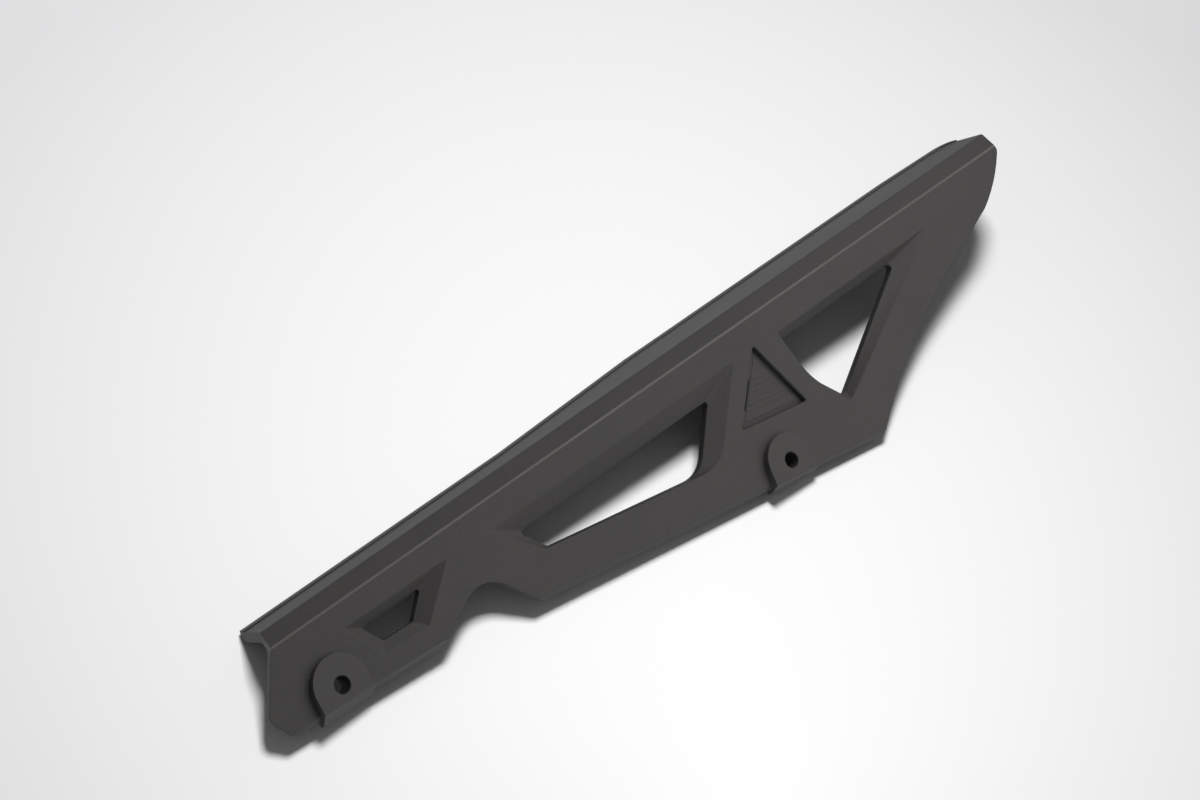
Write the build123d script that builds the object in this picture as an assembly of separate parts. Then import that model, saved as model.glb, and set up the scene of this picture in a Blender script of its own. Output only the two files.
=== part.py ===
from build123d import *
import math
import os

# Chain guard of a motorcycle: one plastic moulding that lies on a table, outer face up.
#
# It is drawn flat first, in the moulding's own axes: X runs along the fold from the front end
# to the rear tip, Y points across the side plate to the fold, and Z points out of the outer
# face. The side plate's outer face is Z = 0 and the fold line is the X axis.
# A place on the side plate is (along, across). Along is measured from the front end, or from the
# rear end where it is negative. Across is measured from the fold down where it is negative, and
# from the lower edge up where it is not.
# The last section turns the finished moulding to the way that it lies.

# Sheet
wall = 3.5
length = 348.2

# Folded top edge: a sloping strip, then the flange over the chain's top run
strip_width = 8.0
strip_angle = 45.0
flange_lean = 3.0
flange_front_width = 20.8
flange_rear_width = 31.6
flare_start = 117.0
flare_end = 184.0
fold_radius = 1.8
flange_tail_run = 30.2
flange_tail_width = 27.2
flange_tail_radius = 7.0
end_cut_lean = 14.0
rim_width = 4.0
rim_height = 0.5

# Side plate: front end, lower edge and the corners between them
front_slope = 35.0
front_corner_depth = 20.0
toe_x = -8.5
toe_depth = 29.4
front_corner_radius = 3.5
toe_radius = 1.2
front_edge_slope = 3.8
front_edge_end = 52.5
middle_edge_x = 92.0
middle_edge_depth = 40.8
middle_edge_slope = 9.35
middle_corner_radius = 1.5
heel = (-105.7, 0.0)
heel_radius = 1.5
lower_bevel = 1.7

# Arched notch in the lower edge
notch_rise = 29.0
notch_fall = 54.0
notch_radius = 11.5

# Rear edge: hollow sweep, short straight, rounded tip
sweep_start = (-103.7, 2.5)
sweep_end = (-39.2, -26.2)
sweep_radius = 222.0
tip_start = (-18.2, -17.8)
tip_straight = 2.0
tip_radius = 57.6
tip_corner_radius = 3.0

# Windows: a sunk surround slopes from the outer corners down to the opening's corners
surround_depth = 3.2
rim_radius = 0.7
front_outer = [(24.6, -8.6), (32.4, 8.3), (51.4, 8.6), (69.8, -8.9)]
front_outer_radii = [0.6, 0.6, 0.6, 0.4]
front_inner = [(31.4, -12.4), (35.6, 12.2), (48.1, 12.4), (57.0, -12.4)]
front_inner_radii = [0.8, 0.8, 0.8, 0.8]
middle_outer = [(87.8, -10.0), (102.0, 16.2), (-170.6, 15.8), (-144.5, -10.2)]
middle_outer_radii = [1.0, 3.0, 14.0, 0.6]
middle_inner = [(98.2, -16.6), (105.0, 16.2), (-178.0, 15.9), (-160.0, -16.9)]
middle_inner_radii = [1.2, 4.0, 11.0, 1.0]
rear_outer = [(-123.0, -10.8), (-120.6, -32.0), (-111.0, 16.9), (-42.6, -10.4)]
rear_outer_radii = [0.6, 30.0, 1.0, 1.0]
rear_inner = [(-122.2, -14.1), (-120.0, -31.0), (-110.6, 19.6), (-61.6, -14.2)]
rear_inner_radii = [0.8, 30.0, 2.0, 1.6]

# Blind ribbed recess between the middle and the rear window
recess_corners = [(-134.6, -9.8), (-156.2, 24.2), (-127.0, 24.2)]
recess_radius = 0.6
recess_depth = 2.6
recess_draft = 6.0
pad_margin = 1.7
pad_height = 0.2
rib_count = 6
rib_pitch = 2.0
rib_width = 0.45
rib_height = 0.12
rib_first = 5.2
rib_margin = 0.6
slot_start = 12.2
slot_length = 11.6
slot_width = 0.9
slot_depth = 1.0

# Fixing bosses, square to the two bolts
bolt_lean = 8.0
boss_thickness = 7.5
boss_rise = 0.3
front_bolt = (13.6, 7.4)
front_boss_radius = 10.9
front_bolt_hole = 6.4
front_foot = 2.0
front_foot_run = 3.7
rear_bolt = (-145.9, 7.0)
rear_boss_radius = 10.4
rear_bolt_hole = 6.0
rear_foot = 1.5
rear_foot_run = 2.2
foot_bevel_depth = 5.0

NODE = "chain_guard"
MARGIN = 40.0


def sin(angle):
    return math.sin(math.radians(angle))


def cos(angle):
    return math.cos(math.radians(angle))


def tan(angle):
    return math.tan(math.radians(angle))


def eased(face, corners, radii):
    """The face with each of the named corners rounded by its own radius."""
    for corner, radius in zip(corners, radii):
        vertex = face.vertices().sort_by_distance((corner[0], corner[1], 0))[0]
        face = fillet(vertex, radius)
    return face


def rounded(corners, radii):
    """Face through the corners, each rounded by its own radius."""
    return eased(make_face(Polyline(*corners, close=True)), corners, radii)


def front_edge_y(x):
    """Lower edge of the front section."""
    return -toe_depth - (x - toe_x) * tan(front_edge_slope)


def middle_edge_y(x):
    """Lower edge from the notch to the heel."""
    return -middle_edge_depth - (x - middle_edge_x) * tan(middle_edge_slope)


def placed(place):
    """Point of the drawing at a place on the side plate."""
    along, across = place
    x = length + along if along < 0 else along
    lower_edge_y = front_edge_y if x < front_edge_end else middle_edge_y
    y = across if across < 0 else lower_edge_y(x) + across
    return (x, y)


# The flange's own plane: local x runs along the guard, local y from the strip to the rim
strip_y = strip_width * sin(strip_angle)
strip_z = -strip_width * cos(strip_angle)
flange_plane = Plane(
    origin=(0, strip_y, strip_z),
    x_dir=(1, 0, 0),
    z_dir=(0, cos(flange_lean), sin(flange_lean)),
)


def mitre(corner, first, second):
    """Corner on the inner face, where the outer faces' normals point at the two angles."""
    share = wall / (1 + cos(first - second))
    y = corner[0] - share * (cos(first) + cos(second))
    z = corner[1] - share * (sin(first) + sin(second))
    return (y, z)


def folded_sheet():
    """Side plate, strip and flange as one bent sheet, before its outline is cut."""
    plate_normal = 90.0
    strip_normal = 90.0 - strip_angle
    plate_y = placed(heel)[1] - MARGIN
    flange_reach = flange_rear_width + MARGIN
    fold = (0.0, 0.0)
    shoulder = (strip_y, strip_z)
    rim = (strip_y + flange_reach * sin(flange_lean), strip_z - flange_reach * cos(flange_lean))
    inner_rim = (rim[0] - wall * cos(flange_lean), rim[1] - wall * sin(flange_lean))
    inner_shoulder = mitre(shoulder, strip_normal, flange_lean)
    inner_fold = mitre(fold, plate_normal, strip_normal)
    ends = [(plate_y, -wall), (plate_y, 0), rim, inner_rim]
    bends = [fold, shoulder, inner_shoulder, inner_fold]
    corners = ends[:2] + bends[:2] + ends[2:] + bends[2:]
    face = make_face(Polyline(*corners, close=True))
    face = eased(face, bends, [fold_radius] * len(bends))
    start = Plane.YZ.offset(-MARGIN)
    return extrude(start * face, amount=length + 2 * MARGIN)


def side_outline():
    """Outline of the guard seen square to the side plate."""
    front_x = -front_corner_depth * tan(front_slope)
    top_y = strip_y + MARGIN
    notch_left = front_edge_y(front_edge_end)
    gap = middle_edge_x - front_edge_end
    climb = tan(notch_rise)
    drop = tan(notch_fall)
    peak_x = front_edge_end + (gap * drop - middle_edge_depth - notch_left) / (climb + drop)
    peak_y = notch_left + (peak_x - front_edge_end) * climb
    rear_corner = placed(heel)
    line = Polyline(
        placed(sweep_start),
        rear_corner,
        (middle_edge_x, -middle_edge_depth),
        (peak_x, peak_y),
        (front_edge_end, notch_left),
        (toe_x, -toe_depth),
        (front_x, -front_corner_depth),
        (0, 0),
        (top_y * tan(end_cut_lean), top_y),
        (length + top_y * tan(end_cut_lean), top_y),
        (length, 0),
        (length, -tip_straight),
    )
    tip = RadiusArc((length, -tip_straight), placed(tip_start), tip_radius)
    straight = Line(placed(tip_start), placed(sweep_end))
    sweep = RadiusArc(placed(sweep_end), placed(sweep_start), -sweep_radius)
    face = make_face(line + tip + straight + sweep)
    rounds = {
        (peak_x, peak_y): notch_radius,
        (middle_edge_x, -middle_edge_depth): middle_corner_radius,
        (front_edge_end, notch_left): middle_corner_radius,
        (toe_x, -toe_depth): toe_radius,
        (front_x, -front_corner_depth): front_corner_radius,
        rear_corner: heel_radius,
        (length, -tip_straight): tip_corner_radius,
    }
    return eased(face, rounds.keys(), rounds.values())


def flange_outline():
    """Outline of the flange in its own plane, open on the side of the strip."""
    end_x = length + strip_y * tan(end_cut_lean)
    tail = (end_x, flange_tail_width)
    line = Polyline(
        tail,
        (end_x, -MARGIN),
        (-MARGIN, -MARGIN),
        (-MARGIN, flange_front_width),
        (flare_start, flange_front_width),
        (flare_end, flange_rear_width),
        (length - flange_tail_run, flange_rear_width),
        close=True,
    )
    return eased(make_face(line), [tail], [flange_tail_radius])


def rim_bead(outline):
    """Low raised bead along the flange's free edge."""
    strip = outline - Pos(0, -rim_width) * outline
    root = flange_plane.offset(-wall / 2)
    return extrude(root * strip, amount=wall / 2 + rim_height)


def edge_bevel(start_x, end_x, edge_y):
    """Cutter that bevels the outer face's arris along a straight lower edge."""
    slope = math.degrees(math.atan2(edge_y(end_x) - edge_y(start_x), end_x - start_x))
    run = (end_x - start_x) / cos(slope)
    spare = lower_bevel
    corners = [
        (-spare, -lower_bevel - spare),
        (lower_bevel + spare, spare),
        (-spare, spare),
    ]
    wedge = extrude(Plane.YZ * make_face(Polyline(*corners, close=True)), amount=run)
    return Pos(start_x, edge_y(start_x), 0) * Rot(0, 0, slope) * wedge


def through(face, plane=Plane.XY):
    """The face's shape, cut right through the guard along the plane's normal."""
    return extrude(plane * face, amount=length, both=True)


def plate_shape(places, radii):
    """Face on the side plate through the places, each rounded by its own radius."""
    return rounded([placed(place) for place in places], radii)


def surround(outer, outer_radii, inner, inner_radii):
    """Sunk surround of a window as a solid between the outer face and the opening's rim."""
    top = plate_shape(outer, outer_radii)
    bottom = Pos(0, 0, -surround_depth) * plate_shape(inner, inner_radii)
    return loft([top, bottom], ruled=True)


def recess(depth):
    """Blind triangular recess, sunk to the depth with drafted sides."""
    face = plate_shape(recess_corners, [recess_radius] * len(recess_corners))
    return extrude(face, amount=-depth, taper=recess_draft)


def recess_inset(margin, bottom, top):
    """Column inside the recess, a margin in from its floor's edge, between two depths."""
    face = plate_shape(recess_corners, [recess_radius] * len(recess_corners))
    inset = margin + recess_depth * tan(recess_draft)
    face = offset(face, amount=-inset, kind=Kind.INTERSECTION)
    return extrude(Pos(0, 0, -bottom) * face, amount=bottom - top)


def along_recess(start, end):
    """Place on the recess's floor at the start corner, with x towards the end corner."""
    first, second = placed(start), placed(end)
    turn = math.degrees(math.atan2(second[1] - first[1], second[0] - first[0]))
    return Pos(first[0], first[1], -recess_depth) * Rot(0, 0, turn)


def recess_pad():
    """Low pad on the recess's floor, with fine ribs that run along the lower edge."""
    top, low_front, low_rear = recess_corners
    root = recess_depth + wall / 2
    pad_top = recess_depth - pad_height
    pad = recess_inset(pad_margin, root, pad_top)
    ribbed = recess_inset(pad_margin + rib_margin, root, pad_top - rib_height)
    rib_length = math.dist(placed(low_front), placed(low_rear))
    rib = Pos(rib_length / 2, 0, 0) * Box(rib_length, rib_width, 2 * root)
    for i in range(rib_count):
        row = along_recess(low_front, low_rear) * Pos(0, rib_first + i * rib_pitch, 0)
        pad += row * rib & ribbed
    return pad


def recess_slot():
    """Cutter for the narrow slot in the recess's floor, beside its front wall."""
    top, low_front, low_rear = recess_corners
    slot = Box(slot_length, slot_width, 2 * slot_depth)
    middle = Pos(slot_start + slot_length / 2, pad_margin - slot_width / 2 - pad_height, 0)
    return along_recess(top, low_front) * middle * slot


def boss_profile(radius, drop):
    """D shape: half round at the top, straight down to the lower edge."""
    left, right = (-radius, 0), (radius, 0)
    sides = Polyline(right, (radius, -drop), (-radius, -drop), left)
    return make_face(sides + ThreePointArc(left, (0, radius), right))


def boss_place(bolt, radius, edge_slope):
    """Centre of a boss's outer face: z along the bolt, x side by side with the lower edge."""
    centre = placed(bolt)
    plane = Plane(
        origin=(centre[0], centre[1], radius * tan(bolt_lean) + boss_rise),
        x_dir=(cos(bolt_lean), 0, -sin(bolt_lean)),
        z_dir=(sin(bolt_lean), 0, cos(bolt_lean)),
    )
    return plane.location * Rot(0, 0, -edge_slope)


def boss_drop(bolt, edge_y, edge_slope, foot):
    """Distance from the bolt to the foot's lower end."""
    centre = placed(bolt)
    return (centre[1] - edge_y(centre[0])) * cos(edge_slope) + foot


def boss(bolt, radius, edge_y, edge_slope, foot, foot_run):
    """Fixing boss, with its foot below the lower edge."""
    turned = boss_place(bolt, radius, edge_slope)
    drop = boss_drop(bolt, edge_y, edge_slope, foot)
    face = turned * boss_profile(radius, drop - foot_run)
    shoulder = turned * Pos(0, 0, -foot_bevel_depth) * boss_profile(radius, drop)
    body = loft([face, shoulder], ruled=True)
    return body + extrude(shoulder, amount=-(boss_thickness - foot_bevel_depth))


def bolt_hole(bolt, radius, hole):
    """Cutter for the bolt hole, square to the boss's face."""
    return boss_place(bolt, radius, 0) * Cylinder(hole / 2, 4 * boss_thickness)


def chain_guard():
    """The whole moulding, drawn flat."""
    outline = side_outline()
    flange_face = flange_outline()
    sheet = folded_sheet() & through(outline)
    sheet = sheet & through(flange_face, flange_plane)
    sheet += rim_bead(flange_face) & through(outline)
    sheet -= edge_bevel(toe_x - wall, front_edge_end + wall, front_edge_y)
    sheet -= edge_bevel(middle_edge_x - wall, placed(heel)[0] + wall, middle_edge_y)

    windows = [
        (front_outer, front_outer_radii, front_inner, front_inner_radii),
        (middle_outer, middle_outer_radii, middle_inner, middle_inner_radii),
        (rear_outer, rear_outer_radii, rear_inner, rear_inner_radii),
    ]
    for outer, outer_radii, inner, inner_radii in windows:
        sunk = surround(outer, outer_radii, inner, inner_radii)
        sheet += Pos(0, 0, -wall) * sunk
        sheet -= sunk
        sheet -= extrude(plate_shape(inner, inner_radii), amount=-3 * wall)

    pocket = recess(recess_depth)
    sheet += Pos(0, 0, -wall) * pocket
    sheet -= pocket
    plate_face = sheet.faces().filter_by(Axis.Z).group_by(Axis.Z)[-1].sort_by(SortBy.AREA)[-1]
    rims = [edge for wire in plate_face.inner_wires() for edge in wire.edges()]
    sheet = fillet(rims, rim_radius)
    sheet -= recess_slot()
    sheet += recess_pad()

    front = (front_bolt, front_boss_radius)
    rear = (rear_bolt, rear_boss_radius)
    sheet += boss(*front, front_edge_y, front_edge_slope, front_foot, front_foot_run)
    sheet += boss(*rear, middle_edge_y, middle_edge_slope, rear_foot, rear_foot_run)
    sheet -= bolt_hole(*front, front_bolt_hole)
    return sheet - bolt_hole(*rear, rear_bolt_hole)


def lying(flat):
    """Turned so that it lies on the flange's rim at two points and on the rear boss's foot."""
    rim_y = strip_y + flange_front_width * sin(flange_lean) - wall * cos(flange_lean)
    front = (rim_y * tan(end_cut_lean), flange_front_width, -wall)
    flare = (flare_end, flange_rear_width, -wall)
    first = flange_plane.from_local_coords(front)
    second = flange_plane.from_local_coords(flare)
    drop = boss_drop(rear_bolt, middle_edge_y, middle_edge_slope, rear_foot)
    foot = Pos(rear_boss_radius, -drop, -boss_thickness)
    third = (boss_place(rear_bolt, rear_boss_radius, middle_edge_slope) * foot).position
    up = (third - first).cross(second - first).normalized()
    plate_tilt = math.degrees(math.atan2(up.Y, up.Z))
    fold_rise = math.degrees(math.asin(up.X))
    print("plate tilt", plate_tilt, "fold rise", fold_rise)
    turned = Rot(0, -fold_rise, 0) * Rot(plate_tilt, 0, 0) * flat
    box = turned.bounding_box()
    return Pos(-box.center().X, -box.center().Y, -box.min.Z) * turned


guard = lying(chain_guard())
box = guard.bounding_box()
print("volume", guard.volume, "solids", len(guard.solids()), "size", box.size)
os.makedirs("parts", exist_ok=True)
export_step(guard, f"parts/{NODE}.step")
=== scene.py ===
import math

import bmesh
import bpy
from bpy.props import FloatProperty, FloatVectorProperty, PointerProperty
from mathutils import Euler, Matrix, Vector


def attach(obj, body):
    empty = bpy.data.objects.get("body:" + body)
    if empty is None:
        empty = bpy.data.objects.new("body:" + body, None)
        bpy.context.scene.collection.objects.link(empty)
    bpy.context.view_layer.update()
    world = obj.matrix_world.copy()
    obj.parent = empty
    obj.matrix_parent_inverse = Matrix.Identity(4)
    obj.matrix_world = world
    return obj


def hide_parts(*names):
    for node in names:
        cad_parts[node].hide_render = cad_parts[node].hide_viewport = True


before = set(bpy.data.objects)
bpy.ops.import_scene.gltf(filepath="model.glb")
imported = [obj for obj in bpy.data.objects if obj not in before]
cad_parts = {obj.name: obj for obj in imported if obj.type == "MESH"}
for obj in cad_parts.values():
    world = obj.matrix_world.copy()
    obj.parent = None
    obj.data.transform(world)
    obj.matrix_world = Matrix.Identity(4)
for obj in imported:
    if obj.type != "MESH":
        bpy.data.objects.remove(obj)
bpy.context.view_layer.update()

bl_info = {
    "name": "Chain guard",
    "version": (1, 0, 0),
    "blender": (4, 5, 0),
    "location": "View3D > Sidebar > Chain guard",
    "description": "Finishes a motorcycle's chain guard and sets it on a pale table",
    "category": "Object",
}

GUARD = "chain_guard"
MOULDING = "guard_moulding"

# Mesh of the moulding: a distance in metres, and angles in degrees
ARRIS = "arris"
WELD_DISTANCE = 0.000005
FLAT_ANGLE = 0.6
SHARP_ANGLE = 35
# Fold facets facing this nearly straight up carry the painted highlight
FACES_UP = 0.93

# Noises in the black plastic: their sizes in metres, and what each of them moves
CLOUD_SIZE = 0.030
SPECKLE_SIZE = 0.0011
SWELL_SIZE = 0.006
CLOUD_SHARE = 0.5
SPECKLE_SHARE = 0.5
PALE_FROM = 0.38
PALE_TO = 0.62
NOISE_MEAN = 0.5
CLOUD_GLOSS = 0.18
SPECKLE_GLOSS = 0.12
SWELL_SHARE = 2.0
BEVEL_SAMPLES = 6

# Table and camera
TABLE_HALF = 4.0
TABLE_ROUGHNESS = 0.7
TABLE_SPECULAR = 0.2
SENSOR_WIDTH = 36.0
CLIP_START = 0.01

# Sockets of Blender's nodes that are reached by their index
OBJECT_COORDINATES = 3
ATTRIBUTE_VALUE = 2
DISTANCE_VALUE = 1
CAMERA_RAY = 0
MIX_SHARE = 0
MIX_FIRST = 6
MIX_SECOND = 7
MIX_COLOUR = 2


class MouldingSettings(bpy.types.PropertyGroup):
    """Sizes and colours of the black plastic moulding."""

    edge_round: FloatProperty(
        name="Edge round",
        description="Radius of the small round that every arris of the moulding shows",
        default=0.0004,
        min=0.0,
        unit="LENGTH",
    )
    fold_length: FloatProperty(
        name="Fold length",
        description="Facets at least this long belong to a fold of the top strip",
        default=0.20,
        unit="LENGTH",
    )
    facet_width: FloatProperty(
        name="Facet width",
        description="Facets narrower than this belong to a fold's round",
        default=0.0004,
        unit="LENGTH",
    )
    plastic: FloatVectorProperty(
        name="Plastic",
        description="Colour of the black plastic",
        default=(0.0405, 0.0378, 0.0365),
        min=0.0,
        max=1.0,
        size=3,
        subtype="COLOR",
    )
    plastic_pale: FloatVectorProperty(
        name="Pale plastic",
        description="Colour of the plastic where the moulding's skin is drier and paler",
        default=(0.0535, 0.050, 0.0483),
        min=0.0,
        max=1.0,
        size=3,
        subtype="COLOR",
    )
    # Painted highlight: by this share the upper fold's colour is painted paler than the
    # plastic
    arris_highlight: FloatProperty(
        name="Arris paleness",
        description="How much paler the plastic is on an arris, where it is burnished",
        default=0.45,
        min=0.0,
    )
    arris_gloss: FloatProperty(
        name="Arris gloss",
        description="How much the roughness falls on an arris",
        default=0.16,
        min=0.0,
        max=1.0,
        subtype="FACTOR",
    )
    roughness: FloatProperty(
        name="Roughness",
        description="Mean roughness of the textured skin",
        default=0.66,
        min=0.0,
        max=1.0,
        subtype="FACTOR",
    )
    grain_size: FloatProperty(
        name="Grain size",
        description="Distance between the pits of the mould's fine texture",
        default=0.0004,
        unit="LENGTH",
    )
    grain_depth: FloatProperty(
        name="Grain depth",
        description="Depth of the mould's fine texture",
        default=0.00003,
        unit="LENGTH",
    )


class TableSettings(bpy.types.PropertyGroup):
    """The table, the lamps and the camera."""

    # Painted light: the table is painted whitest at one middle and darker further out, a
    # painted pool of light
    table: FloatVectorProperty(
        name="Table",
        description="Colour of the table where it is whitest",
        default=(0.95, 0.95, 0.95),
        min=0.0,
        max=1.0,
        size=3,
        subtype="COLOR",
    )
    table_painted_shade: FloatVectorProperty(
        name="Table further out",
        description="Colour of the table further from its white middle",
        default=(0.60, 0.602, 0.61),
        min=0.0,
        max=1.0,
        size=3,
        subtype="COLOR",
    )
    painted_light_middle: FloatVectorProperty(
        name="White middle",
        description="Place on the table that is whitest",
        default=(-0.06, -0.12, 0.0),
        size=3,
        subtype="TRANSLATION",
    )
    painted_light_reach: FloatProperty(
        name="White reach",
        description="Distance over which the table turns from white to its outer colour",
        default=0.40,
        unit="LENGTH",
    )
    far_start: FloatProperty(
        name="Far start",
        description="Distance from the white middle at which the lamps begin to fail",
        default=0.45,
        unit="LENGTH",
    )
    far_run: FloatProperty(
        name="Far run",
        description="Distance over which the camera's own pale takes over from the lamps",
        default=1.3,
        unit="LENGTH",
    )
    far_pale: FloatVectorProperty(
        name="Far pale",
        description="Pale that the camera sees far out on the table",
        default=(0.62, 0.62, 0.63),
        min=0.0,
        max=1.0,
        size=3,
        subtype="COLOR",
    )
    room: FloatProperty(
        name="Room light",
        description="Strength of the white room around the table",
        default=0.15,
    )
    softbox: FloatVectorProperty(
        name="Softbox place",
        description="Where the softbox hangs that lights the guard alone",
        default=(0.30, 0.20, 0.70),
        size=3,
        subtype="TRANSLATION",
    )
    softbox_size: FloatProperty(
        name="Softbox size",
        description="Side of the square softbox",
        default=0.70,
        unit="LENGTH",
    )
    softbox_power: FloatProperty(
        name="Softbox power",
        description="Power of the softbox in watts",
        default=4.0,
    )
    top: FloatVectorProperty(
        name="Table lamp place",
        description="Where the lamp hangs that lights the table alone",
        default=(0.18, 0.34, 1.12),
        size=3,
        subtype="TRANSLATION",
    )
    top_size: FloatProperty(
        name="Table lamp size",
        description="Side of the square table lamp",
        default=0.28,
        unit="LENGTH",
    )
    top_power: FloatProperty(
        name="Table lamp power",
        description="Power of the table lamp in watts",
        default=15.2,
    )
    fill: FloatVectorProperty(
        name="Fill place",
        description="Where the soft fill lamp stands that lights the guard alone",
        default=(0.30, -0.60, 0.50),
        size=3,
        subtype="TRANSLATION",
    )
    fill_size: FloatProperty(
        name="Fill size",
        description="Side of the square fill lamp",
        default=0.80,
        unit="LENGTH",
    )
    fill_power: FloatProperty(
        name="Fill power",
        description="Power of the fill lamp in watts",
        default=3.0,
    )
    eye: FloatVectorProperty(
        name="Camera place",
        description="Where the camera stands",
        default=(-0.47521, -0.25215, 0.86721),
        size=3,
        subtype="TRANSLATION",
    )
    gaze: FloatVectorProperty(
        name="Camera turn",
        description="How the camera is turned",
        default=(0.5379, -0.19206, -0.71881),
        size=3,
        subtype="EULER",
    )
    lens: FloatProperty(
        name="Lens",
        description="Focal length on a sensor 36 mm wide",
        default=84.0,
    )


class Wire:
    """One output of a material's node, which takes part in sums."""

    def __init__(self, finish, socket):
        self.finish = finish
        self.socket = socket

    def sum(self, operation, *terms):
        """One Math node on the terms, which are wires or numbers."""
        return self.finish.node("ShaderNodeMath", {"operation": operation}, *terms)

    def __add__(self, other):
        return self.sum("ADD", self, other)

    def __radd__(self, other):
        return self.sum("ADD", other, self)

    def __sub__(self, other):
        return self.sum("SUBTRACT", self, other)

    def __rsub__(self, other):
        return self.sum("SUBTRACT", other, self)

    def __mul__(self, other):
        return self.sum("MULTIPLY", self, other)

    def __rmul__(self, other):
        return self.sum("MULTIPLY", other, self)

    def __truediv__(self, other):
        return self.sum("DIVIDE", self, other)


class Finish:
    """A material being made, with one method that adds any node to it."""

    def __init__(self, name):
        self.material = bpy.data.materials.new(name)
        self.material.use_nodes = True
        self.tree = self.material.node_tree
        self.shader = self.tree.nodes["Principled BSDF"]

    def node(self, kind, settings, *values, out=0, **named):
        """Node with its settings, and then its sockets by order and by name."""
        made = self.tree.nodes.new(kind)
        for key, value in settings.items():
            if key == "stops":
                self.set_stops(made.color_ramp, value)
            else:
                setattr(made, key, value)
        for index, value in enumerate(values):
            self.feed(made.inputs[index], value)
        for key, value in named.items():
            self.feed(made.inputs[key.replace("_", " ")], value)
        return Wire(self, made.outputs[out])

    def set_stops(self, ramp, stops):
        """Gives a colour ramp its stops, each a place and a grey."""
        while len(ramp.elements) < len(stops):
            ramp.elements.new(0.5)
        for element, (place, grey) in zip(ramp.elements, stops):
            element.position = place
            element.color = (grey, grey, grey, 1.0)

    def feed(self, socket, value):
        """Links a wire to the socket, or sets the socket's own value."""
        if isinstance(value, Wire):
            self.tree.links.new(value.socket, socket)
        elif socket.type == "RGBA" and len(value) == 3:
            socket.default_value = (*value, 1.0)
        else:
            socket.default_value = value

    def noise(self, place, size, detail=2.0, rough=0.5):
        """Grey cloud whose lumps are about size metres across."""
        return self.node(
            "ShaderNodeTexNoise",
            {},
            Vector=place,
            Scale=1.0 / size,
            Detail=detail,
            Roughness=rough,
        )

    def ramp(self, value, *stops):
        """Grey between the stops, each a place and a grey."""
        return self.node("ShaderNodeValToRGB", {"stops": stops}, value)

    def held(self, value):
        """The value, held between 0 and 1."""
        return self.ramp(value, (0.0, 0.0), (1.0, 1.0))

    def blend(self, share, first, second):
        """Colour from the first to the second as share goes from 0 to 1."""
        mix = self.tree.nodes.new("ShaderNodeMix")
        mix.data_type = "RGBA"
        self.feed(mix.inputs[MIX_SHARE], share)
        self.feed(mix.inputs[MIX_FIRST], first)
        self.feed(mix.inputs[MIX_SECOND], second)
        return Wire(self, mix.outputs[MIX_COLOUR])


def black_plastic(settings):
    """Matt black plastic with the fine pitted skin of an etched mould; its upper fold is
    painted paler as a painted highlight, and is glossier.
    """
    finish = Finish("Black moulded plastic")
    place = finish.node("ShaderNodeTexCoord", {}, out=OBJECT_COORDINATES)

    cloud = finish.noise(place, CLOUD_SIZE, detail=3.0)
    speckle = finish.noise(place, SPECKLE_SIZE, rough=0.6)
    mottle = cloud * CLOUD_SHARE + speckle * SPECKLE_SHARE
    pale = finish.ramp(mottle, (PALE_FROM, 0.0), (PALE_TO, 1.0))
    colour = finish.blend(pale, tuple(settings.plastic), tuple(settings.plastic_pale))
    arris = finish.node(
        "ShaderNodeAttribute", {"attribute_name": ARRIS}, out=ATTRIBUTE_VALUE
    )
    # Painted highlight: the marked upper fold is painted paler; the fall in roughness
    # below is real gloss
    gain = 1.0 + settings.arris_highlight
    highlit = tuple(value * gain for value in settings.plastic_pale)
    colour = finish.blend(arris, colour, highlit)
    finish.feed(finish.shader.inputs["Base Color"], colour)

    rough = settings.roughness + (cloud - NOISE_MEAN) * CLOUD_GLOSS
    rough = rough + (speckle - NOISE_MEAN) * SPECKLE_GLOSS
    rough = rough - arris * settings.arris_gloss
    finish.feed(finish.shader.inputs["Roughness"], rough)

    pits = finish.noise(place, settings.grain_size, rough=0.55)
    swell = finish.noise(place, SWELL_SIZE, detail=1.0)
    rounded = finish.node(
        "ShaderNodeBevel", {"samples": BEVEL_SAMPLES}, settings.edge_round
    )
    bump = finish.node(
        "ShaderNodeBump",
        {},
        Strength=1.0,
        Distance=settings.grain_depth,
        Height=pits + swell * SWELL_SHARE,
        Normal=rounded,
    )
    finish.feed(finish.shader.inputs["Normal"], bump)
    return finish.material


def mark_folds(shape, length, width):
    """Marks the vertices of the fold that faces up, where only narrow facets meet, for
    its painted highlight.
    """
    layer = shape.verts.layers.float[ARRIS]
    for edge in shape.edges:
        run = edge.calc_length()
        if run > length and all(
            face.normal.z > FACES_UP and face.calc_area() < width * run
            for face in edge.link_faces
        ):
            for vert in edge.verts:
                vert[layer] = 1.0


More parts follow.
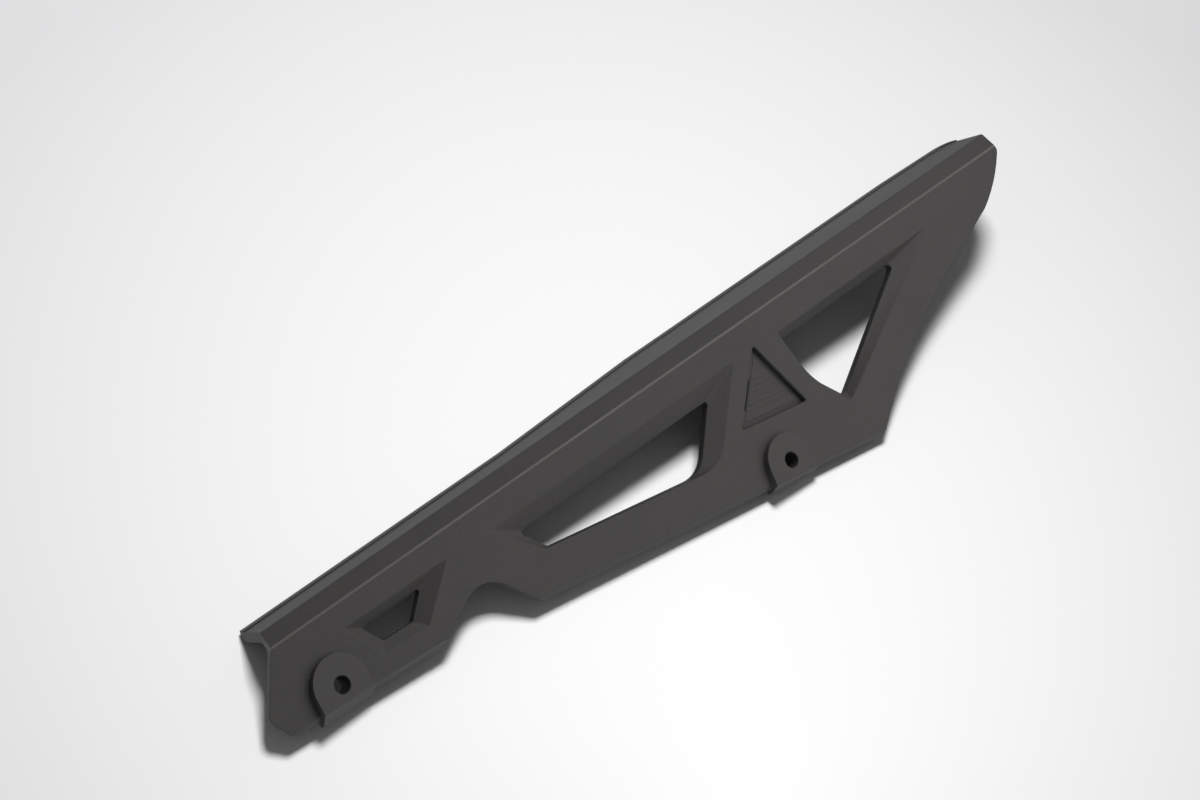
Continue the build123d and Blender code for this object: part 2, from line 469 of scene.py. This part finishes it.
class GUARD_OT_moulding(bpy.types.Operator):
    """Cleans the moulding's mesh, marks its upper fold for a painted highlight and gives
    it its plastic
    """

    bl_idname = "guard.moulding"
    bl_label = "Moulding"

    def execute(self, context):
        settings = context.scene.guard_moulding
        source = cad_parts[GUARD]
        shape = bmesh.new()
        shape.from_mesh(source.data)
        bmesh.ops.remove_doubles(shape, verts=shape.verts, dist=WELD_DISTANCE)
        bmesh.ops.dissolve_limit(
            shape,
            angle_limit=math.radians(FLAT_ANGLE),
            verts=shape.verts,
            edges=shape.edges,
            use_dissolve_boundaries=False,
        )
        shape.verts.layers.float.new(ARRIS)
        mark_folds(shape, settings.fold_length, settings.facet_width)
        mesh = bpy.data.meshes.new(MOULDING)
        shape.to_mesh(mesh)
        shape.free()
        mesh.shade_smooth()
        mesh.set_sharp_from_angle(angle=math.radians(SHARP_ANGLE))
        mesh.materials.append(black_plastic(settings))
        moulding = bpy.data.objects.new(MOULDING, mesh)
        context.scene.collection.objects.link(moulding)
        soft = moulding.modifiers.new("Even shading", "WEIGHTED_NORMAL")
        soft.keep_sharp = True
        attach(moulding, "root")
        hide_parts(GUARD)
        return {"FINISHED"}


def table_finish(settings):
    """Matt white table with a painted pool of light in front of the guard, painted darker
    further out, and pale as far as one sees.
    """
    finish = Finish("White table")
    place = finish.node("ShaderNodeTexCoord", {}, out=OBJECT_COORDINATES)
    away = finish.node(
        "ShaderNodeVectorMath",
        {"operation": "DISTANCE"},
        place,
        tuple(settings.painted_light_middle),
        out=DISTANCE_VALUE,
    )
    # Painted pool of light: the table's colour darkens with distance from the middle
    share = finish.held(away / settings.painted_light_reach)
    colour = finish.blend(share, tuple(settings.table), tuple(settings.table_painted_shade))
    finish.feed(finish.shader.inputs["Base Color"], colour)
    seen = finish.node("ShaderNodeLightPath", {}, out=CAMERA_RAY)
    gone = finish.held((away - settings.far_start) / settings.far_run)
    glow = finish.blend(gone * seen, (0.0, 0.0, 0.0), tuple(settings.far_pale))
    finish.feed(finish.shader.inputs["Emission Color"], glow)
    finish.shader.inputs["Emission Strength"].default_value = 1.0
    finish.shader.inputs["Roughness"].default_value = TABLE_ROUGHNESS
    finish.shader.inputs["Specular IOR Level"].default_value = TABLE_SPECULAR
    return finish.material


def lamp(name, place, size, power, lit):
    """Square soft lamp that shines from its place to the middle, on one object alone."""
    data = bpy.data.lights.new(name, "AREA")
    data.shape = "SQUARE"
    data.size = size
    data.energy = power
    made = bpy.data.objects.new(name, data)
    made.location = place
    made.rotation_euler = Vector(place).to_track_quat("Z", "Y").to_euler()
    bpy.context.scene.collection.objects.link(made)
    group = bpy.data.collections.new("Lit by " + name)
    group.objects.link(lit)
    made.light_linking.receiver_collection = group


def white_room(strength):
    """White world that lights everything alike."""
    world = bpy.data.worlds.new("White room")
    world.use_nodes = True
    back = world.node_tree.nodes["Background"]
    back.inputs["Color"].default_value = (1.0, 1.0, 1.0, 1.0)
    back.inputs["Strength"].default_value = strength
    bpy.context.scene.world = world


def set_camera(settings):
    """Camera of the photograph."""
    data = bpy.data.cameras.new("Camera")
    data.lens = settings.lens
    data.sensor_width = SENSOR_WIDTH
    data.sensor_fit = "HORIZONTAL"
    data.clip_start = CLIP_START
    camera = bpy.data.objects.new("Camera", data)
    camera.location = settings.eye
    camera.rotation_euler = Euler(settings.gaze)
    bpy.context.scene.collection.objects.link(camera)
    bpy.context.scene.camera = camera


class GUARD_OT_table(bpy.types.Operator):
    """Sets the table, the lamps, the room and the camera"""

    bl_idname = "guard.table"
    bl_label = "Table"

    def execute(self, context):
        settings = context.scene.guard_table
        shape = bmesh.new()
        bmesh.ops.create_grid(shape, x_segments=1, y_segments=1, size=TABLE_HALF)
        mesh = bpy.data.meshes.new("table")
        shape.to_mesh(mesh)
        shape.free()
        mesh.materials.append(table_finish(settings))
        table = bpy.data.objects.new("table", mesh)
        context.scene.collection.objects.link(table)

        moulding = bpy.data.objects.get(MOULDING)
        if moulding is None:
            raise RuntimeError("the moulding is made before the table")
        for name, key, lit in (
            ("Softbox", "softbox", moulding),
            ("Table lamp", "top", table),
            ("Fill", "fill", moulding),
        ):
            place = getattr(settings, key)
            size = getattr(settings, key + "_size")
            power = getattr(settings, key + "_power")
            lamp(name, place, size, power, lit)

        white_room(settings.room)
        context.scene.view_settings.view_transform = "Standard"
        set_camera(settings)
        return {"FINISHED"}


class GUARD_PT_panel(bpy.types.Panel):
    """Lists the steps and their settings"""

    bl_idname = "GUARD_PT_panel"
    bl_label = "Chain guard"
    bl_space_type = "VIEW_3D"
    bl_region_type = "UI"
    bl_category = "Chain guard"

    def draw(self, context):
        steps = (("guard.moulding", "guard_moulding"), ("guard.table", "guard_table"))
        for step, group in steps:
            box = self.layout.box()
            box.operator(step)
            settings = getattr(context.scene, group)
            for name in settings.bl_rna.properties.keys():
                if name not in ("rna_type", "name"):
                    box.prop(settings, name)


CLASSES = (
    MouldingSettings,
    TableSettings,
    GUARD_OT_moulding,
    GUARD_OT_table,
    GUARD_PT_panel,
)


def register():
    for kind in CLASSES:
        bpy.utils.register_class(kind)
    bpy.types.Scene.guard_moulding = PointerProperty(type=MouldingSettings)
    bpy.types.Scene.guard_table = PointerProperty(type=TableSettings)


def unregister():
    del bpy.types.Scene.guard_table
    del bpy.types.Scene.guard_moulding
    for kind in reversed(CLASSES):
        bpy.utils.unregister_class(kind)


def main():
    """Builds the scene."""
    register()
    bpy.ops.guard.moulding()
    bpy.ops.guard.table()


if __name__ == "__main__":
    main()
